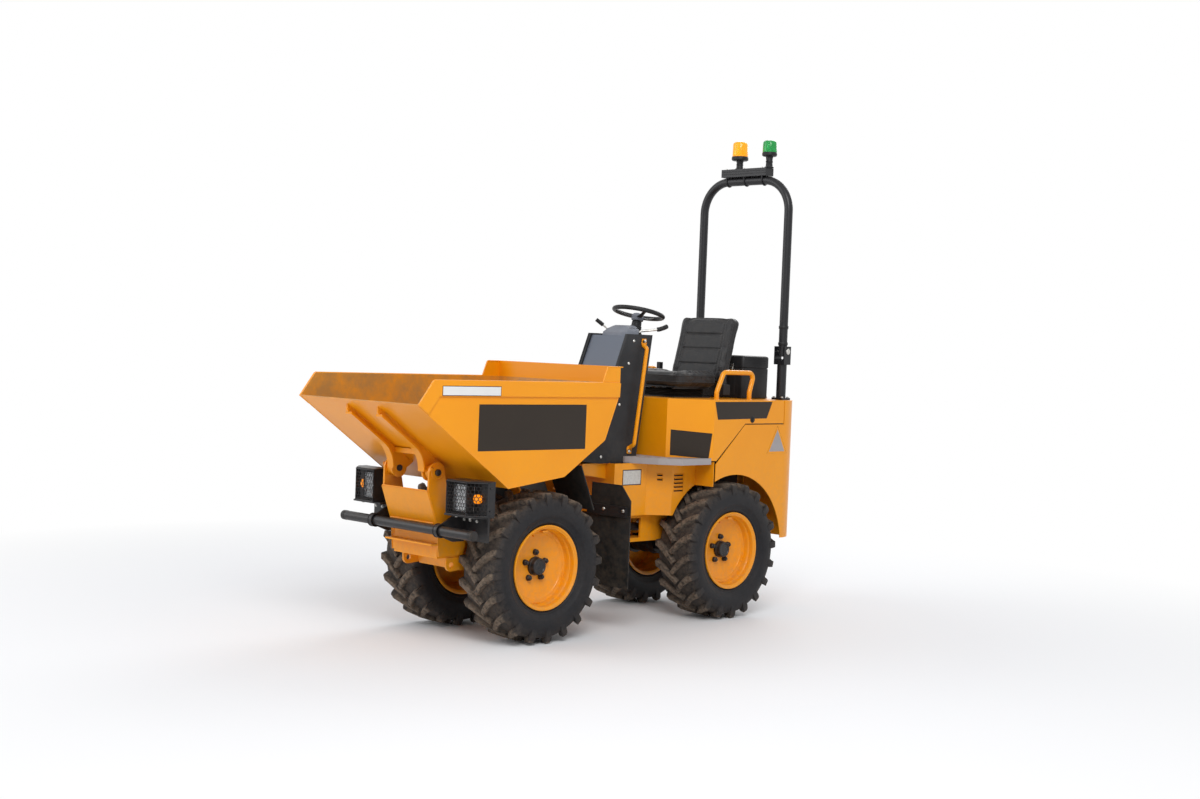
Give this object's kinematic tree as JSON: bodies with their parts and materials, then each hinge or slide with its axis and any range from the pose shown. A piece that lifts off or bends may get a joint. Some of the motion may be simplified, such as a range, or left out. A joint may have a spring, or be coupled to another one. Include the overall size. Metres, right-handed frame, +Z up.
{
  "type": "site dumper",
  "caption": "Articulated site dumper with a forward tipping skip, folding rollover bar, tilting seat deck and beacons",
  "frame": {"origin": "On the ground, under the middle of the machine's overall length and width.", "axes": "The front of the machine faces -Y, its left side +X, and up is +Z."},
  "size_m": [1.0226, 2.876, 2.736],
  "materials": {
    "yellow_paint": "gloss",
    "black_paint": "satin",
    "charcoal_panel": "matte",
    "blue_grey_panel": "satin",
    "grey_paint": "satin",
    "zinc_steel": "satin",
    "ram_chrome": "polished",
    "tyre_rubber": "matte",
    "flap_rubber": "matte",
    "seat_cover": "satin",
    "clear_lens": "clear",
    "amber_lens": "translucent",
    "green_lens": "translucent"
  },
  "bodies": {
    "rear_chassis": {"rear_frame": "yellow_paint", "rear_axle": "black_paint", "frame_pins": "zinc_steel", "lower_housing": "yellow_paint", "platform": "grey_paint", "tail_panels": "yellow_paint", "engine_block": "charcoal_panel", "console_cheeks": "charcoal_panel", "console_shroud": "blue_grey_panel", "grab_handles": "yellow_paint", "console_controls": "black_paint", "rops_posts": "black_paint"},
    "front_chassis": {"front_frame": "yellow_paint", "skip_tower": "yellow_paint", "skip_rests": "yellow_paint", "front_axle": "black_paint", "chassis_pins": "zinc_steel", "bumper": "black_paint", "headlamp_boxes": "black_paint", "headlamp_lenses": "clear_lens", "indicator_lenses": "amber_lens", "lamp_guards": "black_paint", "mudflaps": "flap_rubber"},
    "skip": {"skip_shell": "yellow_paint", "skip_rim": "yellow_paint", "skip_ribs": "yellow_paint"},
    "tip_barrel": {"tip_ram_barrel": "black_paint"},
    "tip_rod": {"tip_ram_rod": "ram_chrome"},
    "steer_barrel": {"steer_ram_barrel": "black_paint"},
    "steer_rod": {"steer_ram_rod": "ram_chrome"},
    "hood_unit": {"hood": "yellow_paint", "seat_base": "black_paint", "seat_cushion": "seat_cover", "seat_back": "seat_cover", "toolbox": "black_paint", "deck_rails": "yellow_paint"},
    "rollover_bar": {"rops_hoop": "black_paint", "beacon_plate": "black_paint", "beacon_bases": "black_paint", "amber_lens": "amber_lens", "green_lens": "green_lens"},
    "steering": {"steering_wheel": "charcoal_panel"},
    "wheel_front_left": {"tyre_front_left": "tyre_rubber", "rim_front_left": "yellow_paint", "hub_front_left": "black_paint"},
    "wheel_front_right": {"tyre_front_right": "tyre_rubber", "rim_front_right": "yellow_paint", "hub_front_right": "black_paint"},
    "wheel_rear_left": {"tyre_rear_left": "tyre_rubber", "rim_rear_left": "yellow_paint", "hub_rear_left": "black_paint"},
    "wheel_rear_right": {"tyre_rear_right": "tyre_rubber", "rim_rear_right": "yellow_paint", "hub_rear_right": "black_paint"}
  },
  "joints": [
    {"name": "articulation", "type": "hinge", "parent": "rear_chassis", "child": "front_chassis", "pos_m": [0, 0.188, 0.505], "axis": [0, 0, 1], "range_deg": [-30, 30]},
    {"name": "skip_tip", "type": "hinge", "parent": "front_chassis", "child": "skip", "pos_m": [0, -1.077, 0.85], "axis": [1, 0, 0], "range_deg": [0, 80]},
    {"name": "tip_ram_swing", "type": "hinge", "parent": "front_chassis", "child": "tip_barrel", "pos_m": [0, -1.052, 0.65], "axis": [1, 0, 0], "range_deg": [-1, 66]},
    {"name": "tip_ram_stroke", "type": "slide", "parent": "tip_barrel", "child": "tip_rod", "axis": [0, 0.9884, 0.1521], "range_m": [-0.002, 0.24]},
    {"name": "steer_ram_swing", "type": "hinge", "parent": "rear_chassis", "child": "steer_barrel", "pos_m": [0.09, 0.488, 0.505], "axis": [0, 0, 1], "range_deg": [-9, 9]},
    {"name": "steer_ram_stroke", "type": "slide", "parent": "steer_barrel", "child": "steer_rod", "axis": [0.0995, -0.995, 0], "range_m": [-0.063, 0.063]},
    {"name": "hood_hinge", "type": "hinge", "parent": "rear_chassis", "child": "hood_unit", "pos_m": [0, 1.38, 1.227], "axis": [-1, 0, 0], "range_deg": [0, 18]},
    {"name": "rollover_bar_fold", "type": "hinge", "parent": "rear_chassis", "child": "rollover_bar", "pos_m": [0, 1.358, 1.5], "axis": [-1, 0, 0], "range_deg": [0, 110]},
    {"name": "steering_wheel_turn", "type": "hinge", "parent": "rear_chassis", "child": "steering", "pos_m": [0, 0.474, 1.683], "axis": [0, 0.2079, 0.9781], "continuous": true},
    {"name": "front_left_wheel_spin", "type": "hinge", "parent": "front_chassis", "child": "wheel_front_left", "pos_m": [0.31, -0.553, 0.38], "axis": [1, 0, 0], "continuous": true},
    {"name": "front_right_wheel_spin", "type": "hinge", "parent": "front_chassis", "child": "wheel_front_right", "pos_m": [-0.31, -0.553, 0.38], "axis": [1, 0, 0], "continuous": true},
    {"name": "rear_left_wheel_spin", "type": "hinge", "parent": "rear_chassis", "child": "wheel_rear_left", "pos_m": [0.31, 0.857, 0.38], "axis": [1, 0, 0], "continuous": true},
    {"name": "rear_right_wheel_spin", "type": "hinge", "parent": "rear_chassis", "child": "wheel_rear_right", "pos_m": [-0.31, 0.857, 0.38], "axis": [1, 0, 0], "continuous": true}
  ],
  "couplings": [
    {"joint": "tip_ram_swing", "follows": "skip_tip", "ratio": 0.815},
    {"joint": "tip_ram_stroke", "follows": "skip_tip", "m_per_rad": 0.1675},
    {"joint": "steer_ram_swing", "follows": "articulation", "ratio": 0.275},
    {"joint": "steer_ram_stroke", "follows": "articulation", "m_per_rad": -0.1175}
  ]
}
